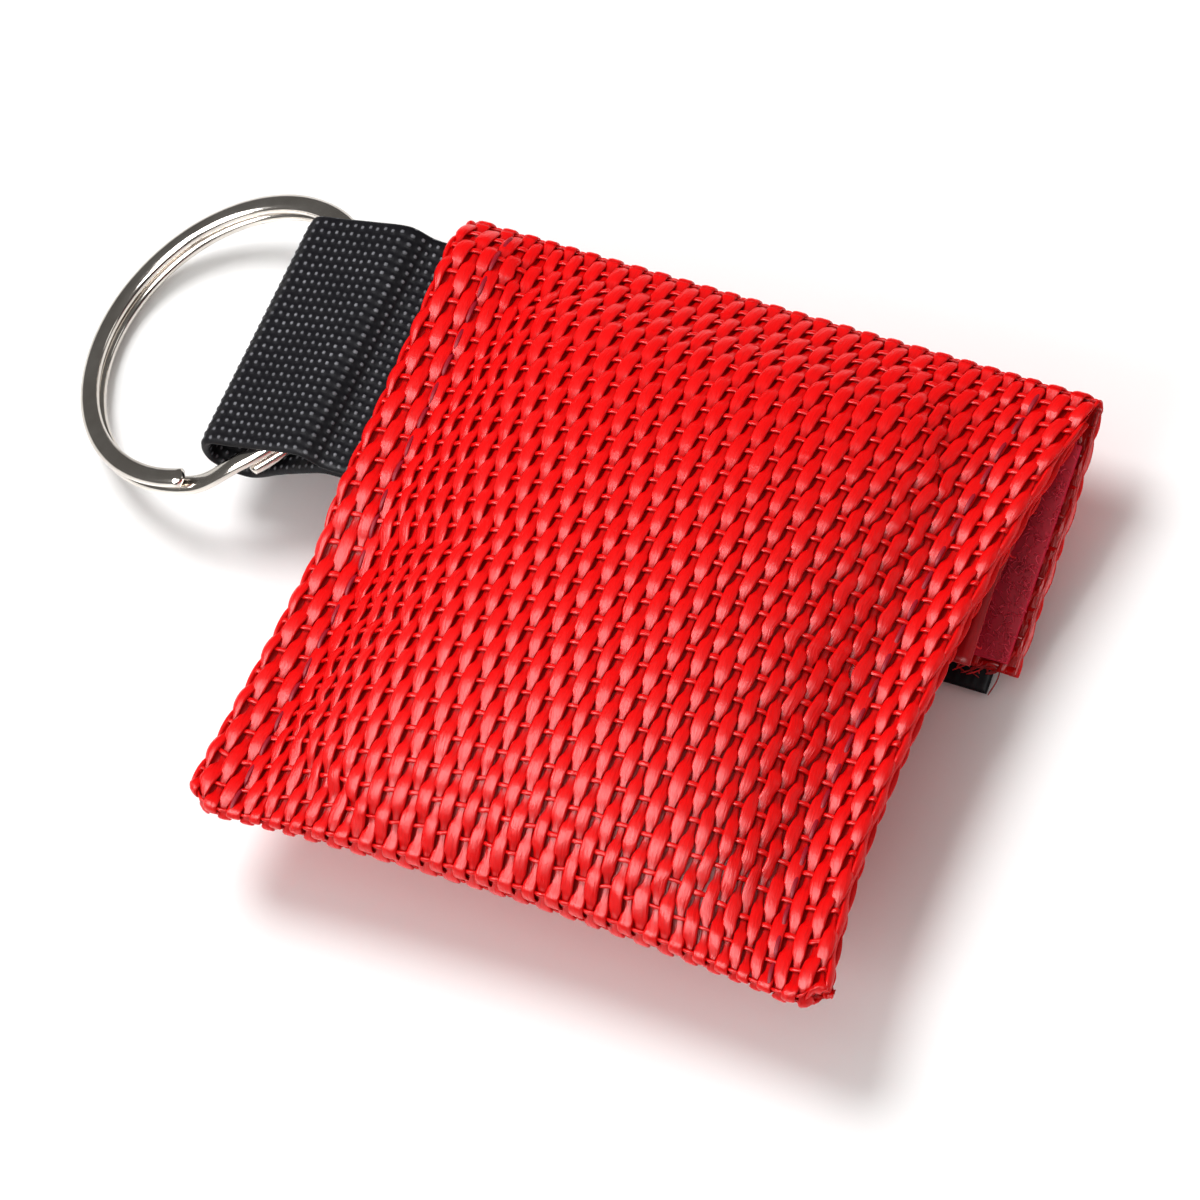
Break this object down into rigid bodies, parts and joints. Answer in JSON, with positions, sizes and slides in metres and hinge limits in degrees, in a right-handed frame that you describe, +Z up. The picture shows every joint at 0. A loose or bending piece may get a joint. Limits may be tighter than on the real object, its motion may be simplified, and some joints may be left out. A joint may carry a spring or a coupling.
{
  "type": "key ring pouch with folded rescue breathing face shield",
  "caption": "Small puffed pouch of coarse red woven nylon with a hook-and-loop back flap, a black webbing side loop and a steel split ring, holding a folded face shield.",
  "frame": {"origin": "on the surface that the pouch lies on, under the middle of the pouch, on the flat underside of its back", "axes": "+X from the key ring side to the free side, +Y towards the top fold where the flap turns, +Z up out of the front face"},
  "size_m": [0.0912, 0.06, 0.0169],
  "materials": {
    "red_nylon": "coarse glossy plain weave",
    "red_hook_tape": "moulded hooks on a woven base",
    "red_loop_tape": "fuzzy loops",
    "sewing_thread": "twisted thread",
    "black_webbing": "fine ribbed weave",
    "nickel_steel": "nickel plated, lightly brushed",
    "clear_film": "clear film",
    "paper": "uncoated paper",
    "blue_plastic": "moulded",
    "white_plastic": "moulded",
    "silicone": "soft"
  },
  "bodies": {
    "pouch": {"front_panel": "red_nylon", "back_panel": "red_nylon", "hook_tape": "red_hook_tape", "hook_tape_thread_upper": "sewing_thread", "hook_tape_thread_lower": "sewing_thread", "seam_thread_left": "sewing_thread", "seam_thread_right": "sewing_thread", "webbing_tails": "black_webbing", "inner_bag": "clear_film", "shield_film": "clear_film", "leaflet": "paper", "valve_cap": "blue_plastic", "valve_body": "white_plastic", "valve_membrane": "silicone", "valve_filter": "paper"},
    "flap": {"flap_panel": "red_nylon", "loop_tape": "red_loop_tape", "pull_strip": "black_webbing", "loop_tape_thread": "sewing_thread", "pull_strip_thread": "sewing_thread"},
    "loop": {"webbing_loop": "black_webbing"},
    "ring": {"split_ring": "nickel_steel"}
  },
  "joints": [
    {"name": "flap_fold", "type": "hinge", "parent": "pouch", "child": "flap", "pos_m": [0, 0.029, 0.00902], "axis": [1, 0, 0], "range_deg": [0, 180]},
    {"name": "loop_bend", "type": "hinge", "parent": "pouch", "child": "loop", "pos_m": [-0.0313, 0.0146, 0.0105], "axis": [0, 1, 0], "range_deg": [-50, 60]},
    {"name": "ring_spin", "type": "hinge", "parent": "loop", "child": "ring", "pos_m": [-0.0468, 0.0138, 0.006], "axis": [-0.3256, 0, 0.9455], "continuous": true}
  ]
}
